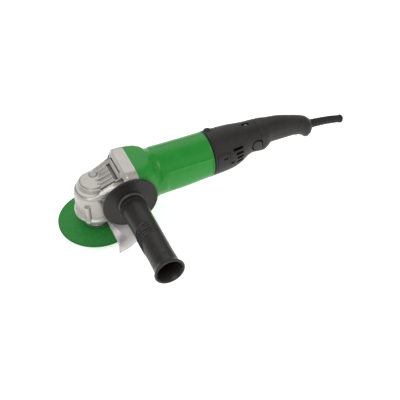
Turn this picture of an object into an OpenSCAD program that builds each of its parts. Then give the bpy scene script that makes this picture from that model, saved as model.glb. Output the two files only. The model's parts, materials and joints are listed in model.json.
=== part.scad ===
// Angle grinder with a geared head, a round motor barrel, a tail handle, a side handle and a half guard.
// Origin: the free end of the spindle, on its axis. +X runs back to the tail and +Z is up.
// The side handle stands out along -Y.

/* [Overall] */
// Height of the motor axis above the spindle's free end
axis_z = 71; // [70:0.5:84]
// Distance from the spindle axis to the front face of the motor housing
barrel_front = 55; // [54:1:66]
// Length of the motor housing
barrel_len = 121; // [117:1:150]
// Length of the rear handle behind the motor housing
tail_len = 174; // [145:1:210]
// Outer diameter of the motor housing behind its collar
barrel_d = 72; // [70:1:86]

/* [Disc and its clamp] */
// Diameter of the grinding disc
disc_d = 115; // [96:1:125]
// Thickness of the grinding disc
disc_t = 3; // [1:0.5:6]
// Bore of the grinding disc
disc_bore = 22.2; // [22.2:0.1:22.4]
// Diameter of the spindle's thread
thread_d = 14; // [10:1:14]
// Length of thread standing out below the lock nut
tip_len = 4; // [2:0.5:6]
// Height of the lock nut
nut_h = 7; // [5:0.5:9]
// Diameter of the lock nut and of the inner flange
flange_d = 40; // [38:1:40]
// Height of the inner flange above the disc
flange_h = 6; // [5:0.5:8]

/* [Gear head] */
// Diameter of the head's nose
nose_d = 58; // [57:1:64]
// Wall of the head's nose
nose_wall = 2; // [1.8:0.2:4]
// Width of the square block that meets the motor housing
block_w = 79; // [77:1:92]
// Height of that block
block_h = 73; // [71:1:88]
// Corner radius of that block
block_r = 16; // [12:1:20]
// Height of the nose's top above the motor axis
nose_top = 18; // [17:0.5:24]
// Teeth on the crown gear
crown_teeth = 36; // [34:1:38]
// Teeth on the pinion
pinion_teeth = 13; // [12:1:14]
// Outer radius of the crown gear's teeth
crown_r = 25; // [24:0.5:25.5]
// Distance from the spindle axis to the lock pin
lock_r = 10.4; // [10:0.1:10.8]
// Direction of the lock pin from the spindle axis
lock_angle = 70; // [60:5:120]
// Travel of the spindle lock
lock_travel = 5; // [4:0.5:5.5]

/* [Guard] */
// Outer diameter of the guard
guard_d = 137; // [131:1:145]
// Sheet thickness of the guard
guard_t = 1.5; // [1:0.1:2]
// Depth of the guard's skirt
guard_skirt = 19; // [12:1:24]
// Distance from the spindle axis to the guard's straight edge
guard_edge = 8; // [2:1:14]

/* [Motor] */
// Radius of the armature's laminated core
core_r = 19; // [16:0.5:20]
// Length of the laminated core
core_len = 46; // [36:1:52]
// Air gap between the armature and the stator
air_gap = 0.6; // [0.4:0.1:1]
// Radius of the commutator
commutator_r = 13; // [11:0.5:14]
// Width of a carbon brush along the shaft
brush_w = 8; // [6:0.5:9]
// Thickness of a carbon brush
brush_t = 5; // [4:0.5:7]
// Radius of the cooling fan
fan_r = 31; // [26:0.5:31.5]

/* [Rear handle] */
// Wall of the moulded handle shells
shell_wall = 2.5; // [2:0.1:3]
// Width of the trigger
trigger_w = 21; // [17:0.5:21]
// Length of the trigger
trigger_len = 46; // [38:1:50]
// Length of the cord sleeve outside the handle
sleeve_len = 58; // [40:1:80]
// Radius of the cord sleeve where it leaves the handle
sleeve_r = 7; // [6:0.5:8]
// Bore of the cord sleeve
sleeve_bore = 7.6; // [6:0.2:9]

/* [Side handle] */
// Distance from the spindle axis to the side handle's axis
side_x = 37; // [35:0.5:42]
// Diameter of the side handle's thread
side_thread_d = 8; // [8:1:10]
// Length of the side handle's grip
grip_len = 134; // [110:1:150]
// Radius of the grip at its middle
grip_r = 17.5; // [16:0.5:20]
// Radius of the hand guard disc
hand_guard_r = 40.5; // [30:0.5:42]
// Thickness of the hand guard disc
hand_guard_t = 3.3; // [2.5:0.1:5]

/* [Hidden] */
$fn = 64;
eps = 0.01;
running_gap = 0.05;
free_gap = 0.3;
// Stack along the spindle, from its free end up
disc_bottom = tip_len + nut_h;
disc_top = disc_bottom + disc_t;
flange_top = disc_top + flange_h;
collar_bottom = flange_top + 1.5;
head_bottom = axis_z - 37.8;
flange_t = 5;
cavity_bottom = head_bottom + flange_t;
cavity_r = nose_d / 2 - nose_wall;
bearing_bottom = axis_z - 31.5;
bearing_h = 10;
bearing_top = bearing_bottom + bearing_h;
lower_bearing_r = 16;
seat_r = 6;
shoulder_r = 8.5;
tip_chamfer = 0.3;
// Run-out groove between the free stretch of thread and the lock nut
tip_groove = 0.8;
gear_seat_r = 5.5;
top_seat_r = 4.5;
bush_r = 7;
bush_h = 7;
bush_top = axis_z + nose_top - 9;
bush_boss_r = 9.5;
// Bevel gears: both pitch cones meet where the two axes cross
crown_cone = atan(crown_teeth / pinion_teeth);
pinion_cone = 90 - crown_cone;
addendum = 2.4;
dedendum = 3.4;
tooth_slack = 0.34;
pinion_front = 15;
pinion_back = 24.3;
crown_inner = 15.5;
tooth_base = 11;
web_top = axis_z - 11.5;
web_bottom = axis_z - 15.5;
lock_hole_r = 2.8;
lock_pin_r = 2.5;
lock_approach = 3.5;
lock_pin_tip = web_top + lock_approach;
cap_r = 5.5;
cap_h = 4;
cap_gap = lock_travel + 0.5;
lock_pad_z = axis_z + nose_top - 8;
lock_boss_r = 4.2;
lock_pos = [lock_r * cos(lock_angle), lock_r * sin(lock_angle)];
// Guard and its band
collar_r = 20.95;
band_r = 21;
band_t = 1.6;
band_rise = 4;
plate_bottom = disc_top + 4;
guard_screw_angle = 120;
// Screws that hold the bearing box
box_screw_r = nose_d / 2 + 0.4;
box_hole_r = 1.75;
box_lug_r = 4.4;
box_lug_h = 25;
box_screw_angles = [50, 130, 230, 310];
// Front end of the motor
front_bearing_x = barrel_front - 27;
front_bearing_r = 15;
front_bearing_w = 9;
shaft_r = 5;
pinion_seat_r = 3;
plate_x = front_bearing_x + front_bearing_w;
duct_r = 32.5;
// Air slots in the head's shoulder: how far each lies below the block's top, and its shift to the right
head_slots = [[9.2, 3], [13.5, -3]];
head_slot_w = 36;
head_slot_h = 2.8;
corner_y = block_w / 2 - 12.5;
corner_z = block_h / 2 - 12.5;
fan_x = barrel_front + 2;
fan_w = 12;
baffle_x = fan_x + fan_w + 2;
core_x = barrel_front + 33;
core_end = core_x + core_len;
stator_x = core_x - 2;
stator_end = core_end + 2;
barrel_end = barrel_front + barrel_len;
rear_duct_r = 29.5;
brush_x = barrel_end + 12;
commutator_x = barrel_end;
commutator_len = 20;
rear_bearing_x = barrel_end + 24;
rear_bearing_r = 11;
rear_bearing_w = 7;
rear_seat_r = 4;
bridge_r = 24;
holder_wall = 1;
holder_end = 29;
// Rear handle stations: share of its length, half width, top and bottom from the motor axis, squareness
tail_end = barrel_end + tail_len;
tail_rows = [
    [0.00, 34.0, 36.3, -31.5, 2.0],
    [0.10, 33.2, 36.0, -30.6, 2.0],
    [0.19, 31.5, 35.5, -28.5, 2.05],
    [0.27, 28.5, 34.8, -22.5, 2.15],
    [0.33, 25.0, 34.2, -15.0, 2.3],
    [0.38, 23.0, 33.8, -12.0, 2.4],
    [0.45, 22.5, 33.4, -12.8, 2.5],
    [0.50, 22.0, 33.0, -13.2, 2.5],
    [0.535, 20.5, 32.7, -9.0, 2.5],
    [0.57, 18.5, 32.2, -4.2, 2.4],
    [0.70, 17.0, 29.5, -4.6, 2.3],
    [0.85, 15.6, 22.0, -8.0, 2.2],
    [0.90, 15.8, 19.0, -12.0, 2.2],
    [0.935, 16.2, 16.6, -17.2, 2.2],
    [0.97, 14.5, 13.5, -15.0, 2.1],
    [1.00, 9.5, 8.5, -9.0, 2.0]
];
barrel_rows = [
    [0.00, block_w / 2, block_h / 2, -block_h / 2, 5.0],
    [0.13, block_w / 2 - 1, block_h / 2 - 0.4, -block_h / 2 + 0.4, 4.0],
    [0.19, barrel_d / 2 + 1.6, barrel_d / 2 + 0.2, -barrel_d / 2 - 0.2, 2.9],
    [0.25, barrel_d / 2 + 0.2, barrel_d / 2, -barrel_d / 2, 2.2],
    [0.31, barrel_d / 2, barrel_d / 2, -barrel_d / 2, 2.0],
    [0.62, barrel_d / 2 - 0.8, barrel_d / 2 - 0.1, -barrel_d / 2 + 1.0, 2.0],
    [0.86, barrel_d / 2 - 1.6, barrel_d / 2, -barrel_d / 2 + 3.5, 2.0],
    [1.00, barrel_d / 2 - 2, barrel_d / 2 + 0.3, -barrel_d / 2 + 4.5, 2.0]
];
trigger_x = barrel_end + 97;
trigger_end = trigger_x + trigger_len;
trigger_wall = 2.2;
trigger_floor = axis_z - 2.8;
slot_front = axis_z + 4.5;
slot_back = axis_z + 0.5;
hinge_x = trigger_end - 5;
hinge_z = axis_z + 4;
hinge_pin_r = 1.5;
hinge_pin_len = 29;
switch_x = barrel_end + 104;
switch_z = axis_z + 10.5;
switch_size = [28, 17, 13];
post_x = switch_x + 7;
spring_x = switch_x + 22;
button_x = barrel_end + 71.5;
button_z = axis_z + 10;
button_w = 15;
button_h = 15;
button_face = 23.8;
button_back = 14.8;
button_flange = 1.5;
rib_y = 6;
cover_x = barrel_end + 12.5;
cover_z = axis_z + 5;
cover_w = 20;
cover_h = 27;
window_rim = 2.5;
cover_depth = 1.4;
// Air slots in each shell: length of each from the top down, and the short one beside the brush cover
vent_end = barrel_end + 45.5;
vent_lengths = [16.5, 12.5, 11, 11];
vent_h = 4.2;
short_vent_h = 3.2;
vent_pitch = 7;
vent_top = 19;
short_vent_x = barrel_end + 24;
short_vent_len = 6;
clamp_x = tail_end - 22;
clamp_z = axis_z + 6;
screw_r = 2;
shell_screws = [[18, 29], [60, 26], [92, 22], [142, 15]];
// Cord sleeve: steps along its bend, where it starts, and how far its free end hangs down
sleeve_steps = 16;
sleeve_start = tail_end - 11;
sleeve_drop = 9;
// Side handle stack, along -Y from the head
boss_face = block_w / 2 + 1.5;
socket_depth = 15;
guard_disc_y = boss_face + 4.5;
ring_y = guard_disc_y + hand_guard_t;
grip_y = ring_y + 3.5;
grip_end = grip_y + grip_len;
grip_hollow = 46;
grip_hollow_r = 14.8;

// ---- helpers ----

// Places children at x on the motor axis, with their own Z along +X
module on_axis(x) translate([x, 0, axis_z]) rotate([0, 90, 0]) children();

// Places children on the side handle's axis at a distance y to the left, with their own Z along -Y
module on_side(y) translate([side_x, -y, axis_z]) rotate([90, 0, 0]) children();

// Repeats children left and right
module both_sides() for (s = [0, 1]) mirror([0, s, 0]) children();

module tube(outer, inner, h) difference() {
    cylinder(r = outer, h = h);
    translate([0, 0, -eps]) cylinder(r = inner, h = h + 2 * eps);
}

module rounded_rect(w, h, r) union() {
    square([w - 2 * r, h], center = true);
    square([w, h - 2 * r], center = true);
    for (sx = [-1, 1], sy = [-1, 1])
        translate([sx * (w / 2 - r), sy * (h / 2 - r)]) circle(r = r);
}

// Screw with a pan head at z = 0 and its shank along -Z
module pan_screw(r, len, head_r, head_h) {
    translate([0, 0, -len]) cylinder(r = r, h = len + eps, $fn = 24);
    difference() {
        cylinder(r = head_r, h = head_h, $fn = 32);
        translate([-head_r, -0.5, head_h * 0.55]) cube([2 * head_r, 1, head_h]);
    }
}

// Value of column k of a table at position t, on a smooth curve through its rows
function slope(rows, i, k) = let (a = max(i - 1, 0), b = min(i + 1, len(rows) - 1))
    (rows[b][k] - rows[a][k]) / (rows[b][0] - rows[a][0]);
function segment(rows, t) = max([for (i = [0 : len(rows) - 2]) if (i == 0 || rows[i][0] <= t) i]);
function hermite(p, q, m, n, u) = (2 * u ^ 3 - 3 * u ^ 2 + 1) * p + (u ^ 3 - 2 * u ^ 2 + u) * m
    + (3 * u ^ 2 - 2 * u ^ 3) * q + (u ^ 3 - u ^ 2) * n;
function smooth(rows, t, k) = let (i = segment(rows, t), d = rows[i + 1][0] - rows[i][0])
    hermite(rows[i][k], rows[i + 1][k], slope(rows, i, k) * d, slope(rows, i + 1, k) * d,
        (t - rows[i][0]) / d);
function signed_power(v, e) = sign(v) * abs(v) ^ e;

// One closed section of a housing at share t of its length, inset by a wall
function ring(rows, x, t, inset, sides) = let (
        w = smooth(rows, t, 1) - inset,
        top = smooth(rows, t, 2) - inset,
        bottom = smooth(rows, t, 3) + inset,
        n = smooth(rows, t, 4),
        mid = (top + bottom) / 2,
        half = (top - bottom) / 2
    ) [for (j = [0 : sides - 1]) let (a = -360 * j / sides)
        [x, w * signed_power(cos(a), 2 / n), axis_z + mid + half * signed_power(sin(a), 2 / n)]];

// Solid through rings of points, closed at both ends
module skin(rings) {
    sides = len(rings[0]);
    last = len(rings) - 1;
    points = [for (r = rings) each r];
    walls = [for (i = [0 : last - 1], j = [0 : sides - 1]) let (k = (j + 1) % sides)
        each [[i * sides + j, i * sides + k, (i + 1) * sides + k],
            [i * sides + j, (i + 1) * sides + k, (i + 1) * sides + j]]];
    front = [[for (j = [sides - 1 : -1 : 0]) j]];
    back = [[for (j = [0 : sides - 1]) last * sides + j]];
    polyhedron(points = points, faces = concat(walls, front, back));
}

// Free-form moulding kept as one smooth mesh, for shells that hold no bore or pin
module moulding() resize([0, 0, 0]) children();

// Housing body through the sections at the given shares of its length
module housing_body(rows, x, length, inset, shares, sides)
    skin([for (t = shares) ring(rows, x + length * t, t, inset, sides)]);

barrel_shares = [for (i = [0 : 18]) i / 18];
tail_shares = [for (i = [0 : 24]) i / 24];
tail_sides = 32;
// Inner face of the handle's end wall
tail_wall_x = barrel_end + tail_len * tail_shares[23];

module barrel_body() housing_body(barrel_rows, barrel_front, barrel_len, 0, barrel_shares, 44);

module tail_body() housing_body(tail_rows, barrel_end, tail_len, 0, tail_shares, tail_sides);

// Space inside the tail, one wall smaller and open towards the motor
module tail_space(wall) {
    inner = [for (t = tail_shares) if (t < 0.99) t];
    skin([for (i = [-1 : len(inner) - 1]) let (t = inner[max(i, 0)])
        ring(tail_rows, barrel_end + tail_len * t - (i < 0 ? 1 : 0), t, wall, tail_sides)]);
}

// Round wire or tube along a path of points in one plane, with a radius at each point
function unit(v) = v / norm(v);
function path_ring(path, i, r, side, sides) = let (
        a = path[max(i - 1, 0)],
        b = path[min(i + 1, len(path) - 1)],
        n = cross(side, unit(b - a))
    ) [for (j = [0 : sides - 1]) path[i] + r * (cos(360 * j / sides) * side + sin(360 * j / sides) * n)];

// Coil spring along +Z
module spring(coil_r, wire_r, length, turns) {
    steps = 12;
    count = turns * steps;
    rise = length - 2 * wire_r;
    function centre(i) = [coil_r * cos(360 * i / steps), coil_r * sin(360 * i / steps),
        wire_r + rise * i / count];
    skin([for (i = [0 : count]) let (a = 360 * i / steps)
        [for (j = [0 : 5]) centre(i) + wire_r * (cos(60 * j) * [cos(a), sin(a), 0]
            + sin(60 * j) * [0, 0, 1])]]);
}

// Bevel gear teeth on the plane at a given distance from the cone apex, as a flat outline
function tooth_half(teeth, cone, depth) =
    (90 * sin(cone) / teeth - tooth_slack - depth * tan(20)) / sin(cone + depth);
module gear_outline(teeth, cone, reach, shift)
    polygon([for (i = [0 : teeth - 1], c = [[-1, -dedendum], [-1, 0], [-1, addendum], [1, addendum],
            [1, 0], [1, -dedendum]])
        let (a = 360 * (i + shift) / teeth + c[0] * tooth_half(teeth, cone, c[1]),
            r = reach * tan(cone + c[1])) [r * cos(a), r * sin(a)]]);

module bearing_outer(outer, inner, w) difference() {
    tube(outer, (outer + inner) / 2 + (outer - inner) * 0.18, w);
    translate([0, 0, w / 2]) rotate_extrude()
        translate([(outer + inner) / 2, 0]) circle(r = (outer - inner) * 0.27 + running_gap, $fn = 32);
}

module bearing_inner(outer, inner, w) difference() {
    tube((outer + inner) / 2 - (outer - inner) * 0.18, inner, w);
    translate([0, 0, w / 2]) rotate_extrude()
        translate([(outer + inner) / 2, 0]) circle(r = (outer - inner) * 0.27 + running_gap, $fn = 32);
}

module bearing_balls(outer, inner, w, count)
    for (i = [0 : count - 1]) rotate(360 * i / count) translate([(outer + inner) / 2, 0, w / 2])
        sphere(r = (outer - inner) * 0.27, $fn = 32);

// ---- gear head ----

module nose_profile(grow) polygon([
    [0, cavity_bottom - 1], [nose_d / 2 + 1.5, cavity_bottom - 1], [nose_d / 2 + 1.5, cavity_bottom + 2],
    [nose_d / 2 + grow, cavity_bottom + 4], [nose_d / 2 + grow, axis_z - 1],
    [nose_d / 2 - 1, axis_z + 2.5], [nose_d / 2 - 4, axis_z + 4],
    [nose_d / 2 - 5, axis_z + nose_top - 7], [nose_d / 2 - 7.5, axis_z + nose_top - 3],
    [nose_d / 2 - 11, axis_z + nose_top - 1.5], [nose_d / 2 - 11.5, axis_z + nose_top],
    [0, axis_z + nose_top]]);

module block_slab(x, t, w, h, r, lift) translate([x, 0, axis_z + lift]) rotate([90, 0, 90])
    linear_extrude(t) rounded_rect(w, h, r);

module head_body() {
    rotate_extrude($fn = 96) nose_profile(0);
    block_slab(barrel_front - 15, 15, block_w, block_h, block_r, 0);
    // throat between the nose and the block
    hull() {
        translate([0, 0, cavity_bottom + 1]) cylinder(r = cavity_r + 0.5, h = 36, $fn = 32);
        block_slab(barrel_front - 16, 1, block_w - 8, block_h - 10, block_r, -2);
    }
    // sloping shoulder that carries the air slots
    hull() {
        block_slab(barrel_front - 28, 1, block_w - 22, 44, 8, nose_top - 22);
        block_slab(barrel_front - 16, 1, block_w - 2, block_h, block_r, 0);
    }
    // deck behind the round top
    hull() {
        translate([0, 0, axis_z]) cylinder(r = nose_d / 2 - 8, h = nose_top - 2, $fn = 32);
        block_slab(barrel_front - 28, 1, block_w - 24, 34, 4, nose_top - 19);
    }
    // ribs on the deck
    for (y = [-14, -5, 5, 14]) translate([8, y - 1.2, axis_z + nose_top - 4])
        cube([barrel_front - 34, 2.4, 4.6]);
    // bosses for the side handle
    both_sides() on_side(side_x / 2) cylinder(r = 10, h = boss_face - side_x / 2);
    // lugs for the bearing box screws
    for (a = box_screw_angles) rotate(a) translate([box_screw_r, 0, cavity_bottom - 0.5])
        cylinder(r = box_lug_r, h = box_lug_h, $fn = 32);
}

module gear_housing() color("lightgray") difference() {
    head_body();
    // flat underside that meets the bearing box
    translate([0, 0, cavity_bottom - 20]) cylinder(r = box_screw_r + box_lug_r + 0.4, h = 20);
    // gear chamber
    translate([0, 0, cavity_bottom - 2]) cylinder(r = cavity_r, h = axis_z - cavity_bottom + 2);
    difference() {
        translate([0, 0, axis_z - 1]) cylinder(r = cavity_r - 5, h = nose_top - 10);
        translate([0, 0, bush_top - bush_h]) cylinder(r = bush_boss_r, h = 20);
        translate([lock_pos[0], lock_pos[1], bush_top - bush_h]) cylinder(r = lock_boss_r, h = 20);
    }
    // bush seat
    translate([0, 0, axis_z]) cylinder(r = bush_r, h = bush_top - axis_z);
    // opening for the pinion, bearing seat, plate and air chamber
    on_axis(pinion_front - 3) cylinder(r = 11, h = front_bearing_x - pinion_front + 3 + eps);
    on_axis(front_bearing_x) cylinder(r = front_bearing_r, h = 20);
    on_axis(plate_x) cylinder(r = 24, h = 20);
    on_axis(plate_x + 3) cylinder(r = duct_r, h = 20);
    // air slots in the sloping shoulder
    for (s = head_slots)
        translate([barrel_front - 30, s[1] - head_slot_w / 2, axis_z + block_h / 2 - s[0]])
            cube([20, head_slot_w, head_slot_h]);
    // lock pin guide and its cap's pocket
    translate([lock_pos[0], lock_pos[1], axis_z]) cylinder(r = lock_pin_r + running_gap, h = 40);
    translate([lock_pos[0], lock_pos[1], lock_pad_z]) cylinder(r = cap_r + 0.8, h = 40);
    // side handle sockets
    both_sides() on_side(boss_face - socket_depth) cylinder(r = side_thread_d / 2, h = socket_depth + 5);
    // corner screws and their pockets
    for (sy = [-1, 1], sz = [-1, 1]) translate([0, sy * corner_y, sz * corner_z]) {
        on_axis(20) cylinder(r = 2.1, h = 40);
        on_axis(10) cylinder(r = 4.6, h = barrel_front - 20);
    }
    // bearing box screw holes
    for (a = box_screw_angles) rotate(a) translate([box_screw_r, 0, cavity_bottom - 1])
        cylinder(r = box_hole_r, h = 15, $fn = 24);
}

module housing_screws() color("silver") for (sy = [-1, 1], sz = [-1, 1])
    translate([0, sy * corner_y, sz * corner_z]) on_axis(barrel_front - 10) rotate([180, 0, 0])
        pan_screw(2.1, 28, 4, 3);

module bearing_box() color("silver") difference() {
    union() {
        translate([0, 0, collar_bottom]) cylinder(r = collar_r, h = head_bottom - collar_bottom + 1);
        rotate_extrude($fn = 96) polygon([[0, head_bottom], [nose_d / 2 + 1.5, head_bottom],
            [nose_d / 2 + 2.5, head_bottom + 1], [nose_d / 2 + 2.5, cavity_bottom - 1],
            [nose_d / 2 + 1.5, cavity_bottom], [0, cavity_bottom]]);
        for (a = box_screw_angles) rotate(a) translate([box_screw_r, 0, head_bottom])
            cylinder(r = box_lug_r, h = flange_t, $fn = 32);
        translate([0, 0, head_bottom + 1])
            cylinder(r = cavity_r - running_gap, h = bearing_top - head_bottom);
    }
    translate([0, 0, collar_bottom - eps]) cylinder(r = shoulder_r + free_gap, h = 50);
    translate([0, 0, collar_bottom + 5]) cylinder(r = 13, h = 50);
    translate([0, 0, bearing_bottom]) cylinder(r = lower_bearing_r, h = 50);
    for (a = box_screw_angles) rotate(a) translate([box_screw_r, 0, head_bottom - eps])
        cylinder(r = box_hole_r, h = flange_t + 2 * eps, $fn = 24);
}

module bearing_box_screws() color("dimgray") for (a = box_screw_angles) rotate(a)
    translate([box_screw_r, 0, head_bottom]) rotate([180, 0, 0]) pan_screw(box_hole_r, 16, 3.4, 2.2);

module dust_seal() color("#3a3a3c") translate([0, 0, collar_bottom + 5])
    tube(13, shoulder_r + running_gap, 4);

module spindle() color("silver") rotate_extrude() polygon([
    [0, 0], [thread_d / 2 - tip_chamfer, 0], [thread_d / 2, tip_chamfer],
    [thread_d / 2, tip_len - tip_groove], [thread_d / 2 - tip_groove, tip_len - tip_groove],
    [thread_d / 2 - tip_groove, tip_len], [thread_d / 2, tip_len],
    [thread_d / 2, flange_top], [shoulder_r, flange_top],
    [shoulder_r, bearing_bottom], [seat_r, bearing_bottom], [seat_r, bearing_top],
    [gear_seat_r, bearing_top], [gear_seat_r, web_top + 0.1], [gear_seat_r - 0.5, web_top + 0.1],
    [gear_seat_r - 0.5, web_top + 1.4], [gear_seat_r, web_top + 1.4], [gear_seat_r, axis_z - 4],
    [top_seat_r, axis_z - 3], [top_seat_r, bush_top - 1.5], [top_seat_r - 1, bush_top - 0.5],
    [0, bush_top - 0.5]]);

module crown_gear() color("dimgray") difference() {
    union() {
        translate([0, 0, bearing_top]) cylinder(r = shoulder_r, h = web_bottom - bearing_top + 1);
        translate([0, 0, web_bottom]) cylinder(r = crown_r, h = axis_z - tooth_base - web_bottom + 0.02);
        intersection() {
            translate([0, 0, axis_z - tooth_base]) linear_extrude(6.6, scale = 1 - 6.6 / tooth_base)
                gear_outline(crown_teeth, crown_cone, tooth_base, 0.5);
            translate([0, 0, axis_z - tooth_base]) cylinder(r = crown_r, h = 10);
        }
    }
    translate([0, 0, web_top]) cylinder(r = crown_inner, h = 20);
    translate([0, 0, bearing_top - eps]) cylinder(r = gear_seat_r, h = 30);
    for (a = [0 : 90 : 270]) rotate(lock_angle + a) translate([lock_r, 0, web_bottom - eps])
        cylinder(r = lock_hole_r, h = web_top - web_bottom + 1);
}

module circlip() color("dimgray") translate([0, 0, web_top + 0.1]) difference() {
    tube(7.2, gear_seat_r - 0.45, 1.2);
    translate([-2, 0, -1]) cube([4, 10, 4]);
}

module spindle_bearing_outer() color("silver") translate([0, 0, bearing_bottom])
    bearing_outer(lower_bearing_r, seat_r, bearing_h);
module spindle_bearing_inner() color("silver") translate([0, 0, bearing_bottom])
    bearing_inner(lower_bearing_r, seat_r, bearing_h);
module spindle_bearing_balls() color("lightgray") translate([0, 0, bearing_bottom])
    bearing_balls(lower_bearing_r, seat_r, bearing_h, 9);

module top_bush() color("goldenrod") translate([0, 0, bush_top - bush_h])
    tube(bush_r, top_seat_r + running_gap, bush_h);

module lock_pin() color("silver") translate([lock_pos[0], lock_pos[1], lock_pin_tip])
    cylinder(r = lock_pin_r, h = lock_pad_z + cap_gap + 1.5 - lock_pin_tip);

module lock_cap() color("gray") translate([lock_pos[0], lock_pos[1], lock_pad_z + cap_gap])
    difference() {
        rotate_extrude() polygon([[0, 0], [cap_r, 0], [cap_r, cap_h - 1], [cap_r - 1, cap_h], [0, cap_h]]);
        translate([0, 0, -eps]) cylinder(r = lock_pin_r, h = 1.5);
    }

module lock_spring() color("silver") translate([lock_pos[0], lock_pos[1], lock_pad_z])
    spring(3.9, 0.45, cap_gap, 4);

// ---- disc and clamp ----

module inner_flange() color("silver") difference() {
    union() {
        rotate_extrude() polygon([[0, disc_top], [flange_d / 2, disc_top],
            [flange_d / 2, disc_top + 2.2], [flange_d / 2 - 4, flange_top], [0, flange_top]]);
        translate([0, 0, disc_top - 1.5]) cylinder(r = disc_bore / 2 - running_gap, h = 2);
    }
    translate([0, 0, disc_top - 2]) cylinder(r = thread_d / 2, h = flange_h + 3);
}

module grinding_disc() color("seagreen") translate([0, 0, disc_bottom])
    tube(disc_d / 2, disc_bore / 2, disc_t);

module lock_nut() color("dimgray") difference() {
    rotate_extrude() polygon([[0, tip_len], [13, tip_len], [14, tip_len + 1], [14, tip_len + 2.5],
        [flange_d / 2, tip_len + 3.5], [flange_d / 2, disc_bottom], [0, disc_bottom]]);
    translate([0, 0, tip_len - 1]) cylinder(r = thread_d / 2, h = nut_h + 2);
    for (a = [45 : 90 : 315]) rotate(a) translate([10.5, 0, tip_len - eps])
        cylinder(r = 1.8, h = 4, $fn = 24);
}

// ---- guard ----

module wheel_guard() color("silver") {
    difference() {
        union() {
            intersection() {
                translate([0, 0, plate_bottom]) cylinder(r = guard_d / 2, h = guard_t, $fn = 128);
                translate([guard_edge, -100, 0]) cube(200);
            }
            // band round the collar, which reaches down to the plate on the guard's side only
            translate([0, 0, plate_bottom + band_rise])
                cylinder(r = band_r + band_t, h = head_bottom - plate_bottom - band_rise - 3);
            intersection() {
                translate([0, 0, plate_bottom]) cylinder(r = band_r + band_t, h = band_rise + 1);
                translate([guard_edge, -100, 0]) cube(200);
            }
            rotate(guard_screw_angle) translate([band_r, -4.5, plate_bottom + band_rise])
                cube([11, 9, 7]);
        }
        translate([0, 0, plate_bottom - 1]) cylinder(r = band_r, h = 40);
        rotate(guard_screw_angle) translate([band_r - 2, -1, plate_bottom + guard_t]) cube([20, 2, 40]);
        rotate(guard_screw_angle) translate([band_r + 6.5, 10, plate_bottom + 7]) rotate([90, 0, 0])
            cylinder(r = 2, h = 20, $fn = 24);
    }
    intersection() {
        translate([0, 0, plate_bottom + guard_t - guard_skirt])
            tube(guard_d / 2, guard_d / 2 - guard_t, guard_skirt, $fn = 128);
        translate([guard_edge, -100, -50]) cube(200);
    }
}
module guard_clamp_screw() color("dimgray") rotate(guard_screw_angle)
    translate([band_r + 6.5, -4.5, plate_bottom + 7]) rotate([90, 0, 0]) pan_screw(2, 11, 3.2, 2.2);

// ---- motor ----

module motor_housing() color("green") difference() {
    barrel_body();
    on_axis(barrel_front - eps) cylinder(r = duct_r, h = stator_end + 1 - barrel_front);
    on_axis(stator_end) cylinder(r = rear_duct_r, h = 200);
    for (sy = [-1, 1], sz = [-1, 1]) translate([0, sy * corner_y, sz * corner_z])
        on_axis(barrel_front - eps) cylinder(r = 2.1, h = 18, $fn = 24);
}

module fan_baffle() color("#2b2b2d") on_axis(baffle_x) difference() {
    union() {
        tube(duct_r, 24, 2);
        tube(26, 24, 6);
    }
}

module armature_shaft() color("silver") on_axis(0) rotate_extrude() polygon([
    [0, pinion_front - 5], [pinion_seat_r - 0.5, pinion_front - 5], [pinion_seat_r, pinion_front - 4.5],
    [pinion_seat_r, front_bearing_x - 1], [shaft_r, front_bearing_x - 1], [shaft_r, rear_bearing_x],
    [rear_seat_r, rear_bearing_x], [rear_seat_r, rear_bearing_x + rear_bearing_w],
    [0, rear_bearing_x + rear_bearing_w]]);

module armature_core() color("gray") on_axis(core_x) difference() {
    tube(core_r, shaft_r, core_len);
    for (i = [0 : 11]) rotate(30 * i) translate([core_r - 3, -0.8, -1]) cube([10, 1.6, core_len + 2]);
}

module winding_end(h) rotate_extrude() polygon([[shaft_r, 0], [core_r - 3, 0], [core_r - 2, h * 0.4],
    [core_r - 5, h], [shaft_r, h]]);
module armature_windings() color("peru") {
    on_axis(core_x) rotate([180, 0, 0]) winding_end(9);
    on_axis(core_end) winding_end(12);
}

module commutator() color("goldenrod") on_axis(commutator_x) difference() {
    tube(commutator_r, shaft_r, commutator_len);
    for (i = [0 : 23]) rotate(15 * i) translate([commutator_r - 0.8, -0.25, -1])
        cube([3, 0.5, commutator_len + 2]);
}

module cooling_fan() color("#2b2b2d") on_axis(fan_x) {
    tube(9, shaft_r, fan_w);
    translate([0, 0, fan_w - 2]) tube(fan_r, 8, 2);
    for (i = [0 : 15]) rotate(22.5 * i) translate([15, -0.8, 2]) rotate([0, 0, 25])
        cube([fan_r - 16.5, 1.6, fan_w - 3]);
}

module pinion_gear() color("silver") difference() {
    union() {
        on_axis(pinion_back) mirror([0, 0, 1]) linear_extrude(pinion_back - pinion_front,
            scale = pinion_front / pinion_back) gear_outline(pinion_teeth, pinion_cone, pinion_back, 0);
        on_axis(pinion_back - eps) cylinder(r = 6.5, h = front_bearing_x - pinion_back + eps);
    }
    on_axis(0) cylinder(r = pinion_seat_r, h = front_bearing_x - 1);
    on_axis(front_bearing_x - 1 - eps) cylinder(r = shaft_r, h = 3);
}

module pinion_nut() color("gray") on_axis(pinion_front - 4) difference() {
    cylinder(r = 4.6, h = 4, $fn = 6);
    translate([0, 0, -1]) cylinder(r = pinion_seat_r, h = 8);
}

module front_bearing_outer() color("silver") on_axis(front_bearing_x)
    bearing_outer(front_bearing_r, shaft_r, front_bearing_w);
module front_bearing_inner() color("silver") on_axis(front_bearing_x)
    bearing_inner(front_bearing_r, shaft_r, front_bearing_w);
module front_bearing_balls() color("lightgray") on_axis(front_bearing_x)
    bearing_balls(front_bearing_r, shaft_r, front_bearing_w, 8);

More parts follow.
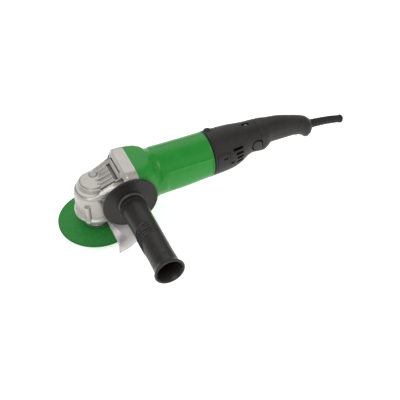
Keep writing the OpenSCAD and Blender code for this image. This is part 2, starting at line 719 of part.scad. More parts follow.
module front_bearing_plate() color("silver") on_axis(plate_x) difference() {
    cylinder(r = 24, h = 3);
    translate([0, 0, -1]) cylinder(r = 9, h = 8);
}

module rear_bearing_outer() color("silver") on_axis(rear_bearing_x)
    bearing_outer(rear_bearing_r, rear_seat_r, rear_bearing_w);
module rear_bearing_inner() color("silver") on_axis(rear_bearing_x)
    bearing_inner(rear_bearing_r, rear_seat_r, rear_bearing_w);
module rear_bearing_balls() color("lightgray") on_axis(rear_bearing_x)
    bearing_balls(rear_bearing_r, rear_seat_r, rear_bearing_w, 7);

module stator_core() color("gray") on_axis(stator_x) difference() {
    cylinder(r = duct_r, h = stator_end - stator_x);
    translate([0, 0, -1]) cylinder(r = core_r + air_gap, h = 80);
    for (s = [-1, 1]) translate([s * 23, 0, -1]) linear_extrude(80) rounded_rect(10, 20, 3);
}

module stator_coils() color("peru") for (s = [0, 1]) {
    on_axis(s == 0 ? stator_x - 8 : stator_end) difference() {
        tube(29, core_r + 2.5, s == 0 ? 8 : 9);
        for (k = [0, 1]) rotate(180 * k) translate([-6, 12, -1]) cube([12, 30, 20]);
    }
}

module brush_bridge() color("#2b2b2d") difference() {
    union() {
        on_axis(barrel_end - 10) tube(rear_duct_r, bridge_r - 2, 10);
        on_axis(barrel_end - 3) tube(bridge_r, bridge_r - 2.5, rear_bearing_x - barrel_end + 3);
        on_axis(rear_bearing_x - 2) tube(bridge_r, 6, 2);
        on_axis(rear_bearing_x - eps) tube(rear_bearing_r + 2.5, rear_bearing_r, rear_bearing_w + 1);
    }
    translate([brush_x, 0, axis_z])
        cube([brush_w + 2 * holder_wall, 70, brush_t + 2 * holder_wall], center = true);
    for (a = [0, 180]) on_axis(barrel_end + 2) rotate(a) translate([12, -8, 0]) cube([20, 16, 16]);
}

module brush_holders() color("goldenrod") both_sides() difference() {
    translate([brush_x - brush_w / 2 - holder_wall, -holder_end, axis_z - brush_t / 2 - holder_wall])
        cube([brush_w + 2 * holder_wall, holder_end - commutator_r - 2, brush_t + 2 * holder_wall]);
    translate([brush_x - brush_w / 2, -holder_end + holder_wall, axis_z - brush_t / 2])
        cube([brush_w, holder_end, brush_t]);
}

module carbon_brushes() color("#333338") both_sides() difference() {
    translate([brush_x - brush_w / 2, -commutator_r - 9, axis_z - brush_t / 2])
        cube([brush_w, 9.6, brush_t]);
    on_axis(barrel_end) cylinder(r = commutator_r + running_gap, h = 40);
}

module brush_springs() color("silver") both_sides()
    translate([brush_x, -commutator_r - 9, axis_z]) rotate([90, 0, 0])
        spring(1.9, 0.3, holder_end - holder_wall - commutator_r - 9, 4);

// ---- rear handle ----

// Depth from the middle at which a shell screw's head sits
function screw_head(p) = p[0] < 40 ? 12 : 9;

// Block over the brush cover's outline on the left side, from a depth y outwards
module cover_block(grow, inner) translate([cover_x, -inner, cover_z]) rotate([90, 0, 0])
    linear_extrude(40) rounded_rect(cover_w + 2 * grow, cover_h + 2 * grow, 4);

module half_space() translate([barrel_end - 50, -100, 0]) cube([tail_len + 150, 100, 200]);

// Opening of the trigger across the underside of the grip
module trigger_slot() translate([0, 40, 0]) rotate([90, 0, 0]) linear_extrude(80) polygon([
    [trigger_x - 0.6, axis_z - 30], [trigger_end + 0.6, axis_z - 30], [trigger_end + 0.6, slot_back],
    [trigger_x - 0.6, slot_front]]);

module d_outline(grow) intersection() {
    union() {
        circle(r = button_w / 2 + grow, $fn = 48);
        translate([0, -button_h / 2 - grow]) square([button_w / 2 + grow, button_h / 2 + grow]);
    }
    square([button_w + 2 * grow, button_h + 2 * grow], center = true);
}

// Bosses for the shell screws, inside the walls
module screw_bosses() for (p = shell_screws) translate([barrel_end + p[0], 0, axis_z + p[1]])
    rotate([90, 0, 0]) cylinder(r = 4.5, h = 40, $fn = 32);

// Rib that backs the lock-on button's spring
module button_rib() translate([button_x - 12, -rib_y, axis_z - 20]) cube([24, 2, 80]);

// Ribs at both ends of the switch
module switch_ribs() for (x = [switch_x - 2, switch_x + switch_size[0]])
    translate([x, -30, switch_z + 0.5]) cube([2, 27, 60]);

// Post that carries one end of the cord clamp
module clamp_post() translate([clamp_x, -9, axis_z - 30])
    cylinder(r = 3.4, h = clamp_z - 1.5 - axis_z + 30, $fn = 24);

// Left half of the handle's shell with its bosses, and with the seat of the brush cover
module handle_half(rib) difference() {
    intersection() {
        tail_body();
        half_space();
    }
    difference() {
        tail_space(shell_wall);
        screw_bosses();
        switch_ribs();
        clamp_post();
        if (rib) button_rib();
    }
    difference() {
        cover_block(free_gap / 2, 20);
        tail_space(cover_depth);
    }
    on_axis(barrel_end - 1) cylinder(r = bridge_r + 1, h = 33);
    on_axis(barrel_end - 1) cylinder(r = rear_bearing_r + 4, h = 35);
}

module shell_cuts() {
    trigger_slot();
    // mouth for the brush bridge
    on_axis(barrel_end - 2) cylinder(r = rear_duct_r, h = 5);
    // cord entry
    on_axis(tail_end - 12) cylinder(r = sleeve_r + 0.4, h = 30, $fn = 40);
    // hinge pin and clamp screw holes
    translate([hinge_x, 1, hinge_z]) rotate([90, 0, 0])
        cylinder(r = hinge_pin_r, h = 1 + hinge_pin_len / 2, $fn = 24);
    translate([clamp_x, -9, clamp_z - 9]) cylinder(r = 1.6, h = 12, $fn = 24);
    // air slots
    for (i = [0 : 3])
        translate([vent_end - vent_lengths[i], -50, axis_z + vent_top - vent_h / 2 - i * vent_pitch])
            cube([vent_lengths[i], 40, vent_h]);
    translate([short_vent_x, -50, axis_z - 1]) cube([short_vent_len, 30, short_vent_h]);
    for (p = shell_screws) translate([barrel_end + p[0], 1, axis_z + p[1]]) rotate([90, 0, 0])
        cylinder(r = screw_r, h = 14, $fn = 24);
    // window behind the brush cover
    cover_window();
}

module cover_window() translate([cover_x, -15, cover_z]) rotate([90, 0, 0]) linear_extrude(30)
    rounded_rect(cover_w - 2 * window_rim, cover_h - 2 * window_rim, 3);

module rear_handle_left() color("#38383a") moulding() difference() {
    handle_half(true);
    shell_cuts();
    translate([button_x, -10, button_z]) rotate([90, 0, 0]) linear_extrude(30) d_outline(0.4);
}

module rear_handle_right() color("#38383a") moulding() mirror([0, 1, 0]) difference() {
    handle_half(false);
    shell_cuts();
    for (p = shell_screws) translate([barrel_end + p[0], -screw_head(p), axis_z + p[1]])
        rotate([90, 0, 0]) cylinder(r = 3.8, h = 40, $fn = 32);
}

module handle_screws() color("silver") for (p = shell_screws)
    translate([barrel_end + p[0], screw_head(p), axis_z + p[1]]) rotate([-90, 0, 0])
        pan_screw(screw_r, screw_head(p) + 8, 3.4, 2);

module brush_cover(side) moulding() mirror([0, side, 0]) difference() {
    intersection() {
        tail_body();
        cover_block(0, 15);
    }
    tail_space(cover_depth);
    translate([cover_x, -15, cover_z]) rotate([90, 0, 0]) cylinder(r = 1.6, h = 40, $fn = 24);
}
module brush_cover_left() color("#38383a") brush_cover(0);
module brush_cover_right() color("#38383a") brush_cover(1);

module switch_body() color("#5a5a5e") difference() {
    translate([switch_x, -switch_size[1] / 2, switch_z]) cube(switch_size);
    translate([post_x - 4, -3, switch_z - eps]) cube([8, 6, 7]);
}

module trigger_outline() polygon([
    [trigger_x, axis_z - 3.6], [trigger_x + 5, axis_z - 5], [trigger_x + 27, axis_z - 5],
    [trigger_x + 40, axis_z - 6.6], [trigger_end, axis_z - 7], [trigger_end, hinge_z + 2],
    [trigger_end - 3, hinge_z + 4], [trigger_end - 9, hinge_z + 4], [trigger_x + 1, slot_front + 1.5],
    [trigger_x, slot_front + 0.5]]);

// Channel-shaped paddle with a post that reaches into the switch
module switch_trigger() color("#252527") difference() {
    union() {
        difference() {
            intersection() {
                translate([0, trigger_w / 2, 0]) rotate([90, 0, 0]) linear_extrude(trigger_w)
                    trigger_outline();
                translate([trigger_x - 5, 0, axis_z + 9.5]) rotate([90, 0, 90])
                    linear_extrude(trigger_len + 10) rounded_rect(trigger_w, 34, 8);
            }
            translate([trigger_x + trigger_wall, trigger_wall - trigger_w / 2, trigger_floor])
                cube([trigger_len - 2 * trigger_wall, trigger_w - 2 * trigger_wall, 40]);
        }
        translate([post_x - 1.5, -1.5, trigger_floor - 1]) cube([3, 3, switch_z - trigger_floor + 1.5]);
    }
    translate([hinge_x, 20, hinge_z]) rotate([90, 0, 0]) cylinder(r = hinge_pin_r + running_gap, h = 40);
}

module trigger_pin() color("silver") translate([hinge_x, hinge_pin_len / 2, hinge_z])
    rotate([90, 0, 0]) cylinder(r = hinge_pin_r, h = hinge_pin_len);

module trigger_spring() color("silver") translate([spring_x, 0, trigger_floor])
    spring(2.6, 0.4, switch_z - trigger_floor, 4);

module lock_on_button() color("#5a5a5e") translate([button_x, -button_back, button_z])
    rotate([90, 0, 0]) {
        linear_extrude(button_face - button_back) d_outline(0);
        linear_extrude(button_flange) d_outline(1.5);
    }

module lock_on_spring() color("silver") translate([button_x, -rib_y, button_z]) rotate([90, 0, 0])
    spring(3.5, 0.45, button_back - rib_y, 4);

// ---- cord sleeve and clamp ----

function sleeve_point(i) = let (u = i / sleeve_steps)
    [sleeve_start + (sleeve_len + 11) * u, 0, axis_z - sleeve_drop * u ^ 2];
sleeve_path = [for (i = [0 : sleeve_steps]) sleeve_point(i)];
function sleeve_radius(i) = i >= sleeve_steps - 1 ? sleeve_r - 0.6 : sleeve_r - 1.3 * i / sleeve_steps;

module sleeve_tube(radii) skin([for (i = [0 : sleeve_steps])
    path_ring(sleeve_path, i, radii[i], [0, 1, 0], 20)]);

module cord_sleeve() color("#2b2b2d") difference() {
    union() {
        sleeve_tube([for (i = [0 : sleeve_steps]) sleeve_radius(i)]);
        on_axis(sleeve_start - 1) cylinder(r = sleeve_r + 2.2, h = tail_wall_x - sleeve_start + 1);
    }
    on_axis(sleeve_start - 4) cylinder(r = sleeve_bore / 2, h = 5);
    skin([for (i = [0 : sleeve_steps]) path_ring(sleeve_path, i, sleeve_bore / 2, [0, 1, 0], 20)]);
}

module cord_clamp() color("#2b2b2d") difference() {
    translate([clamp_x - 4, -12, clamp_z - 1.5]) cube([8, 24, 3]);
    for (y = [-9, 9]) translate([clamp_x, y, clamp_z - 5]) cylinder(r = 1.6, h = 10, $fn = 24);
}

module clamp_screws() color("silver") for (y = [-9, 9]) translate([clamp_x, y, clamp_z + 1.5])
    pan_screw(1.6, 9, 2.9, 1.8);

// ---- side handle ----

module side_handle_stud() color("silver") on_side(boss_face - socket_depth + 1)
    cylinder(r = side_thread_d / 2, h = grip_y + 24 - boss_face + socket_depth - 1);

module side_handle_guard() color("#2b2b2d") on_side(boss_face) difference() {
    union() {
        cylinder(r = 14, h = guard_disc_y - boss_face + 1);
        translate([0, 0, guard_disc_y - boss_face])
            cylinder(r = hand_guard_r, h = hand_guard_t, $fn = 96);
    }
    translate([0, 0, -1]) cylinder(r = side_thread_d / 2, h = 20);
}

module side_handle_ring() color("gray") on_side(ring_y)
    tube(grip_r + 2, side_thread_d / 2, grip_y - ring_y);

module side_handle_grip() color("#2b2b2d") on_side(grip_y) difference() {
    rotate_extrude($fn = 96) polygon([[0, 0], [grip_r + 0.6, 0], [grip_r + 1.1, 2], [grip_r + 1.1, 20],
        [grip_r + 0.4, 34], [grip_r + 0.2, 60], [grip_r, 80], [grip_r - 0.3, grip_len - 30],
        [grip_r + 0.2, grip_len - 10], [grip_r + 2.2, grip_len - 4], [grip_r + 3.6, grip_len - 2],
        [grip_r + 3.6, grip_len], [0, grip_len]]);
    translate([0, 0, -1]) cylinder(r = side_thread_d / 2, h = 26);
    translate([0, 0, grip_len - grip_hollow]) cylinder(r = grip_hollow_r, h = grip_hollow + 1);
}

gear_housing();
housing_screws();
bearing_box();
bearing_box_screws();
dust_seal();
spindle();
crown_gear();
circlip();
spindle_bearing_outer();
spindle_bearing_inner();
spindle_bearing_balls();
top_bush();
lock_pin();
lock_cap();
lock_spring();
inner_flange();
grinding_disc();
lock_nut();
wheel_guard();
guard_clamp_screw();
motor_housing();
fan_baffle();
armature_shaft();
armature_core();
armature_windings();
commutator();
cooling_fan();
pinion_gear();
pinion_nut();
front_bearing_outer();
front_bearing_inner();
front_bearing_balls();
front_bearing_plate();
rear_bearing_outer();
rear_bearing_inner();
rear_bearing_balls();
stator_core();
stator_coils();
brush_bridge();
brush_holders();
carbon_brushes();
brush_springs();
rear_handle_left();
rear_handle_right();
handle_screws();
brush_cover_left();
brush_cover_right();
switch_body();
switch_trigger();
trigger_pin();
trigger_spring();
lock_on_button();
lock_on_spring();
cord_sleeve();
cord_clamp();
clamp_screws();
side_handle_stud();
side_handle_guard();
side_handle_ring();
side_handle_grip();
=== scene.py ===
"""Angle grinder: the looks of its pieces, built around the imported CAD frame.

Lengths are in millimetres until a mesh is made."""
import json
import math
import bmesh
import bpy
import numpy as np
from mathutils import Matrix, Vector


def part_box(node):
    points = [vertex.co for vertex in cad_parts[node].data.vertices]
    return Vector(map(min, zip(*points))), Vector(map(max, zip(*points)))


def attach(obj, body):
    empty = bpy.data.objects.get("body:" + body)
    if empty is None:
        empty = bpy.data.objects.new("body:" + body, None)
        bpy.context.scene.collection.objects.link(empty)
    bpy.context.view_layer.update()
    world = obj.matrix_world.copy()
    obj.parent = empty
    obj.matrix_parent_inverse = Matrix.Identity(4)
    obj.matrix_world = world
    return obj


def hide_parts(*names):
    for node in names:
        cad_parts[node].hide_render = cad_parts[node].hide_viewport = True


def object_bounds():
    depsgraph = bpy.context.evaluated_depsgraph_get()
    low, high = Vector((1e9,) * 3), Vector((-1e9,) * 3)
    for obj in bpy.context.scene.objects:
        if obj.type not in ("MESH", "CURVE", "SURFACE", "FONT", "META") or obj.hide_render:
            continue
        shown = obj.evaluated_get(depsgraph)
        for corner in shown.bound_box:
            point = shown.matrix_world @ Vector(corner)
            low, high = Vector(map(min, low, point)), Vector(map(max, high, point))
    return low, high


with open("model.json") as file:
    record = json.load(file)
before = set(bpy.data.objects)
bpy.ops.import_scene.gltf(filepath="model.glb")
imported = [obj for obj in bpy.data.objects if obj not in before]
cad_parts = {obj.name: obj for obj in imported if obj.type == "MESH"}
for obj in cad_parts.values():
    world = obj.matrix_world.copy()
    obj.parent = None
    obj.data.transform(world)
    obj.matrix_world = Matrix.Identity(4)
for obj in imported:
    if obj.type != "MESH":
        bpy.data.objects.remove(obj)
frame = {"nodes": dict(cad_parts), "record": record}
cad_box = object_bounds()
nodes = frame["nodes"]
MM = 0.001


def corners(node):
    """Lowest and highest corner of a CAD node, in millimetres."""
    low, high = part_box(node)
    return np.array(low) / MM, np.array(high) / MM


# ---- places taken from the frame ----

barrel_low, barrel_high = corners("motor_housing")
_, tail_high = corners("rear_handle_left")
core_low, core_high = corners("armature_core")
grip_low, grip_high = corners("side_handle_grip")
guard_low, guard_high = corners("side_handle_guard")
disc_low, disc_high = corners("grinding_disc")
cover_low, cover_high = corners("brush_cover_left")
button_low, button_high = corners("lock_on_button")
ring_low, ring_high = corners("side_handle_ring")
AXIS_Z = (core_low[2] + core_high[2]) / 2
BARREL_FRONT, BARREL_END = barrel_low[0], barrel_high[0]
BARREL_LEN = BARREL_END - BARREL_FRONT
TAIL_END = tail_high[0]
TAIL_LEN = TAIL_END - BARREL_END
SIDE_X = (grip_low[0] + grip_high[0]) / 2
BLOCK_W = barrel_high[1] - barrel_low[1]
BLOCK_H = 73.0
BARREL_R = 36.0
DUCT_R = 29.5
WIDE_DUCT_R = 32.5
BUTTON_BACK = 14.8
# The barrel and the handle's shells meet a little ahead of the CAD joint
JOINT_X = BARREL_END - 2.5


# ---- mesh helpers ----

def signed_power(value, power):
    return np.sign(value) * np.abs(value) ** power


def step(low, high, value):
    """Smooth step from 0 at low to 1 at high."""
    share = np.clip((value - low) / (high - low), 0.0, 1.0)
    return share * share * (3 - 2 * share)


def band(centre, half, soft, value):
    """1 within half of the centre, fading to 0 over soft."""
    return 1 - step(half, half + soft, np.abs(value - centre))


def row_values(rows, share):
    """Smooth values of a table's columns at a share of its length."""
    i = max(k for k in range(len(rows) - 1) if k == 0 or rows[k][0] <= share)
    span = rows[i + 1][0] - rows[i][0]
    u = (share - rows[i][0]) / span

    def slope(k, column):
        a, b = max(k - 1, 0), min(k + 1, len(rows) - 1)
        return (rows[b][column] - rows[a][column]) / (rows[b][0] - rows[a][0]) * span

    values = []
    for column in range(1, 5):
        p, q = rows[i][column], rows[i + 1][column]
        m, n = slope(i, column), slope(i + 1, column)
        values.append((2 * u ** 3 - 3 * u ** 2 + 1) * p + (u ** 3 - 2 * u ** 2 + u) * m
                      + (3 * u ** 2 - 2 * u ** 3) * q + (u ** 3 - u ** 2) * n)
    return values


def section(rows, share, x, angles, inset=0.0):
    """Points of a housing's section at a share of its length."""
    width, top, bottom, square = row_values(rows, share)
    mid, half = (top + bottom) / 2, (top - bottom) / 2 - inset
    y = (width - inset) * signed_power(np.cos(angles), 2 / square)
    z = AXIS_Z + mid + half * signed_power(np.sin(angles), 2 / square)
    return np.stack([np.full_like(y, x), y, z], axis=1)


def finish_mesh(piece, sharp=40):
    """Outward normals, smooth shading and sharp edges where faces meet at over sharp degrees."""
    shape = bmesh.new()
    shape.from_mesh(piece.data)
    bmesh.ops.remove_doubles(shape, verts=shape.verts, dist=1e-6)
    bmesh.ops.dissolve_degenerate(shape, edges=shape.edges, dist=1e-6)
    bmesh.ops.recalc_face_normals(shape, faces=shape.faces)
    shape.to_mesh(piece.data)
    shape.free()
    piece.data.shade_smooth()
    piece.data.set_sharp_from_angle(angle=math.radians(sharp))


def make(name, points, faces):
    """A new object from points in millimetres."""
    mesh = bpy.data.meshes.new(name)
    mesh.from_pydata((np.asarray(points, float) * MM).tolist(), [], faces)
    piece = bpy.data.objects.new(name, mesh)
    bpy.context.scene.collection.objects.link(piece)
    finish_mesh(piece)
    return piece


def skin(name, rings, closed=False, cap="fan"):
    """A mesh through rings of points.

    closed joins the last ring to the first. cap says how the two ends are filled."""
    count, sides = len(rings), len(rings[0])
    points = [tuple(p) for ring in rings for p in ring]
    faces = []
    for i in range(count if closed else count - 1):
        a, b = i * sides, (i + 1) % count * sides
        faces += [(a + j, a + (j + 1) % sides, b + (j + 1) % sides, b + j) for j in range(sides)]
    if not closed and cap == "fan":
        for start in (0, (count - 1) * sides):
            faces.append(tuple(range(start, start + sides)))
    if not closed and cap == "strip":
        half = sides // 2
        for start in (0, (count - 1) * sides):
            faces += [(start + j, start + j + 1, start + sides - 2 - j, start + sides - 1 - j)
                      for j in range(half - 1)]
    return make(name, points, faces)


def fillet(outline, radius, parts=4):
    """An outline with its corners rounded. radius is one number, or one for each corner."""
    points = [np.array(p, float) for p in outline]
    rounded = []
    for i, here in enumerate(points):
        before, after = points[i - 1], points[(i + 1) % len(points)]
        reach = radius[i] if isinstance(radius, (list, tuple)) else radius
        to_before, to_after = before - here, after - here
        room = min(np.linalg.norm(to_before), np.linalg.norm(to_after)) * 0.48
        reach = min(reach, room)
        if reach < 1e-4:
            rounded.append(here)
            continue
        start = here + to_before / np.linalg.norm(to_before) * reach
        end = here + to_after / np.linalg.norm(to_after) * reach
        for k in range(parts + 1):
            u = k / parts
            rounded.append((1 - u) ** 2 * start + 2 * u * (1 - u) * here + u * u * end)
    return rounded


def lathe(name, profile, axis, centre, steps=144):
    """A closed profile of (radius, height) turned about an axis."""
    rings = []
    for angle in np.linspace(0, 2 * math.pi, steps, endpoint=False):
        c, s = math.cos(angle), math.sin(angle)
        ring = []
        for radius, height in profile:
            across = (radius * c, radius * s)
            if axis == "z":
                ring.append((centre[0] + across[0], centre[1] + across[1], centre[2] + height))
            elif axis == "x":
                ring.append((centre[0] + height, centre[1] + across[0], centre[2] + across[1]))
            else:
                ring.append((centre[0] + across[0], centre[1] - height, centre[2] + across[1]))
        rings.append(ring)
    return skin(name, rings, closed=True)


def prism(outline, axis, low, high, name="cutter"):
    """An outline pushed along an axis: (x, z) along y, (x, y) along z and (y, z) along x."""
    def at(point, along):
        a, b = point
        return {"x": (along, a, b), "y": (a, along, b), "z": (a, b, along)}[axis]
    return skin(name, [[at(p, low) for p in outline], [at(p, high) for p in outline]])


def box_outline(centre, size, radius=0.0, turn=0.0, parts=5):
    """A rectangle with rounded corners, turned by some degrees."""
    w, h = size[0] / 2, size[1] / 2
    points = fillet([(-w, -h), (w, -h), (w, h), (-w, h)], radius, parts)
    c, s = math.cos(math.radians(turn)), math.sin(math.radians(turn))
    return [(centre[0] + p[0] * c - p[1] * s, centre[1] + p[0] * s + p[1] * c) for p in points]


def circle(centre, radius, sides=40):
    turns = np.linspace(0, 2 * math.pi, sides, endpoint=False)
    return [(centre[0] + radius * math.cos(a), centre[1] + radius * math.sin(a)) for a in turns]


def apply_modifiers(piece):
    graph = bpy.context.evaluated_depsgraph_get()
    mesh = bpy.data.meshes.new_from_object(piece.evaluated_get(graph))
    old = piece.data
    piece.modifiers.clear()
    piece.data = mesh
    bpy.data.meshes.remove(old)


def join(pieces):
    """One object that holds every piece's mesh."""
    shape = bmesh.new()
    for piece in pieces:
        shape.from_mesh(piece.data)
    shape.to_mesh(pieces[0].data)
    shape.free()
    for piece in pieces[1:]:
        bpy.data.objects.remove(piece)
    return pieces[0]


def combine(piece, tools, operation, sharp=40):
    """Cuts, joins or keeps the common part of piece and the tools, which are used up."""
    for tool in tools:
        change = piece.modifiers.new("combine", "BOOLEAN")
        change.operation = operation
        change.solver = "EXACT"
        change.object = tool
        apply_modifiers(piece)
        bpy.data.objects.remove(tool)
    finish_mesh(piece, sharp)
    return piece


def soften(piece, width, parts=3, angle=30):
    """Rounds a piece's own edges."""
    change = piece.modifiers.new("bevel", "BEVEL")
    change.width = width * MM
    change.segments = parts
    change.limit_method = "ANGLE"
    change.angle_limit = math.radians(angle)
    change.harden_normals = False
    apply_modifiers(piece)
    finish_mesh(piece)
    return piece


def copy_of(node, name):
    """A new object with a copy of a CAD node's mesh."""
    piece = bpy.data.objects.new(name, nodes[node].data.copy())
    piece.data.name = name
    bpy.context.scene.collection.objects.link(piece)
    shape = bmesh.new()
    shape.from_mesh(piece.data)
    bmesh.ops.remove_doubles(shape, verts=shape.verts, dist=1e-6)
    shape.to_mesh(piece.data)
    shape.free()
    return piece


def remould(piece, voxel, smoothing, rounds):
    """Rebuilds a piece as one even skin with softened edges, as a casting has."""
    change = piece.modifiers.new("remesh", "REMESH")
    change.mode = "VOXEL"
    change.voxel_size = voxel * MM
    apply_modifiers(piece)
    change = piece.modifiers.new("smooth", "SMOOTH")
    change.factor = smoothing
    change.iterations = rounds
    apply_modifiers(piece)
    piece.data.shade_smooth()
    return piece


# ---- materials ----

class Recipe:
    """Builds one procedural material, a few nodes at a time."""

    def __init__(self, name):
        self.material = bpy.data.materials.new(name)
        self.material.use_nodes = True
        self.tree = self.material.node_tree
        self.shader = self.tree.nodes["Principled BSDF"]
        self.place = self.node("ShaderNodeTexCoord").outputs["Object"]

    def node(self, kind, **values):
        made = self.tree.nodes.new(kind)
        for key, value in values.items():
            setattr(made, key, value)
        return made

    def link(self, out, into):
        self.tree.links.new(out, into)

    def noise(self, size, detail=3.0, rough=0.5, stretch=None):
        """Noise whose features are about size millimetres."""
        made = self.node("ShaderNodeTexNoise")
        made.inputs["Scale"].default_value = 1 / (size * MM)
        made.inputs["Detail"].default_value = detail
        made.inputs["Roughness"].default_value = rough
        source = self.place
        if stretch:
            mapping = self.node("ShaderNodeMapping")
            mapping.inputs["Scale"].default_value = stretch
            self.link(source, mapping.inputs["Vector"])
            source = mapping.outputs["Vector"]
        self.link(source, made.inputs["Vector"])
        return made.outputs["Fac"]

    def span(self, source, low, high, to_low=0.0, to_high=1.0):
        made = self.node("ShaderNodeMapRange")
        sockets = ("From Min", "From Max", "To Min", "To Max")
        for socket, value in zip(sockets, (low, high, to_low, to_high)):
            made.inputs[socket].default_value = value
        self.link(source, made.inputs["Value"])
        return made.outputs["Result"]

    def sum_of(self, a, b, weight=1.0):
        """a times weight plus b."""
        made = self.node("ShaderNodeMath", operation="MULTIPLY_ADD")
        self.link(a, made.inputs[0])
        made.inputs[1].default_value = weight
        self.link(b, made.inputs[2])
        return made.outputs[0]

    def mix(self, share, a, b):
        """Colour a at share 0 and b at share 1. Each is a colour or a socket."""
        made = self.node("ShaderNodeMix", data_type="RGBA")
        self.link(share, made.inputs["Factor"])
        for key, value in ((6, a), (7, b)):
            if isinstance(value, bpy.types.NodeSocket):
                self.link(value, made.inputs[key])
            else:
                made.inputs[key].default_value = (*value, 1.0)
        return made.outputs[2]

    def bump(self, height, depth):
        """Relief of depth millimetres."""
        made = self.node("ShaderNodeBump")
        made.inputs["Strength"].default_value = 1.0
        made.inputs["Distance"].default_value = depth * MM
        self.link(height, made.inputs["Height"])
        self.link(made.outputs["Normal"], self.shader.inputs["Normal"])

    def colour(self, source):
        self.link(source, self.shader.inputs["Base Color"])

    def roughness(self, source):
        self.link(source, self.shader.inputs["Roughness"])

    def set(self, **values):
        for key, value in values.items():
            self.shader.inputs[key.replace("_", " ").title().replace("Ior", "IOR")].default_value = value


def shade(colour, amount):
    return tuple(min(1.0, c * amount) for c in colour)


def moulded(name, colour, rough, grain=0.5, relief=0.03, patchy=0.12, coat=0.0, worn=0.0):
    """Moulded plastic: faint patches, a spark-textured grain, and rubbed lighter patches."""
    look = Recipe(name)
    patches = look.noise(22, 4)
    fine = look.noise(grain, 2, 0.6)
    base = look.mix(look.span(patches, 0.3, 0.7), shade(colour, 1 - patchy), shade(colour, 1 + patchy))
    if worn:
        rubbed = look.span(look.noise(6, 5, 0.65), 0.52, 0.72, 0.0, worn)
        base = look.mix(rubbed, base, shade(colour, 2.1))
    look.colour(base)
    look.roughness(look.span(look.sum_of(fine, patches, 0.5), 0.4, 1.1, rough * 0.82, rough * 1.18))
    look.bump(fine, relief)
    look.set(coat_weight=coat, coat_roughness=0.08, specular_ior_level=0.3)
    return look.material


def metal(name, colour, rough, share=1.0, brush=None, relief=0.01, patchy=0.1):
    """Metal with drawn or turned marks and uneven polish."""
    look = Recipe(name)
    patches = look.noise(14, 4)
    marks = look.noise(0.35, 3, 0.6, stretch=brush)
    blend = look.span(patches, 0.3, 0.7)
    look.colour(look.mix(blend, shade(colour, 1 - patchy), shade(colour, 1 + patchy)))
    look.roughness(look.span(look.sum_of(marks, patches, 0.6), 0.4, 1.2, rough * 0.75, rough * 1.3))
    look.bump(marks, relief)
    look.set(metallic=share)
    return look.material


def cast_alloy(name, colour):
    """Sand-cast, tumbled alloy: orange-peel skin, pits, painted shade in the hollows and brighter rubbed edges.
    """
    look = Recipe(name)
    peel = look.noise(1.1, 4, 0.55)
    broad = look.noise(11, 4)
    pits = look.node("ShaderNodeTexVoronoi")
    pits.inputs["Scale"].default_value = 1 / (2.4 * MM)
    look.link(look.place, pits.inputs["Vector"])
    pit = look.span(pits.outputs["Distance"], 0.05, 0.22, 0.0, 1.0)
    edges = look.node("ShaderNodeNewGeometry").outputs["Pointiness"]
    bright = look.span(edges, 0.508, 0.55)
    # painted shade: the hollows, found by low pointiness, are darkened in the colour where shade would fall
    painted_hollow_shade = look.span(edges, 0.494, 0.45)
    base = look.mix(look.span(broad, 0.3, 0.7), shade(colour, 0.9), shade(colour, 1.08))
    base = look.mix(bright, base, shade(colour, 1.45))
    base = look.mix(painted_hollow_shade, base, shade(colour, 0.3))
    look.colour(base)
    look.roughness(look.span(look.sum_of(peel, broad, 0.5), 0.4, 1.1, 0.26, 0.44))
    look.bump(look.sum_of(pit, peel, 0.35), 0.18)
    look.set(metallic=0.75)
    return look.material


def abrasive(name, colour):
    """Bonded grit over a woven glass net, darker in a thin band at its rim."""
    look = Recipe(name)
    grit = look.node("ShaderNodeTexVoronoi")
    grit.inputs["Scale"].default_value = 1 / (0.9 * MM)
    look.link(look.place, grit.inputs["Vector"])
    weave = None
    for direction in ("X", "Y"):
        threads = look.node("ShaderNodeTexWave", bands_direction=direction)
        threads.inputs["Scale"].default_value = 1 / (20 * MM)
        threads.inputs["Distortion"].default_value = 0.4
        look.link(look.place, threads.inputs["Vector"])
        weave = threads.outputs["Fac"] if weave is None else look.sum_of(threads.outputs["Fac"], weave, 1.0)
    flat = look.node("ShaderNodeVectorMath", operation="MULTIPLY")
    flat.inputs[1].default_value = (1, 1, 0)
    look.link(look.place, flat.inputs[0])
    reach = look.node("ShaderNodeVectorMath", operation="LENGTH")
    look.link(flat.outputs["Vector"], reach.inputs[0])
    rim = look.span(reach.outputs["Value"], (disc_high[0] - 1.6) * MM, (disc_high[0] - 0.8) * MM)
    hub = look.span(reach.outputs["Value"], 21 * MM, 19.5 * MM)
    base = look.mix(look.span(look.noise(7, 4), 0.3, 0.7), shade(colour, 0.88), shade(colour, 1.1))
    base = look.mix(look.span(weave, 1.0, 1.9, 0.0, 0.25), base, shade(colour, 1.25))
    base = look.mix(look.span(grit.outputs["Distance"], 0.5, 0.9, 0.0, 0.35), base, shade(colour, 0.6))
    base = look.mix(rim, base, shade(colour, 0.45))
    base = look.mix(hub, base, (0.5, 0.5, 0.48))
    look.colour(base)
    look.roughness(look.span(grit.outputs["Distance"], 0.0, 0.9, 0.5, 0.75))
    look.bump(look.sum_of(weave, grit.outputs["Distance"], 0.5), 0.12)
    return look.material


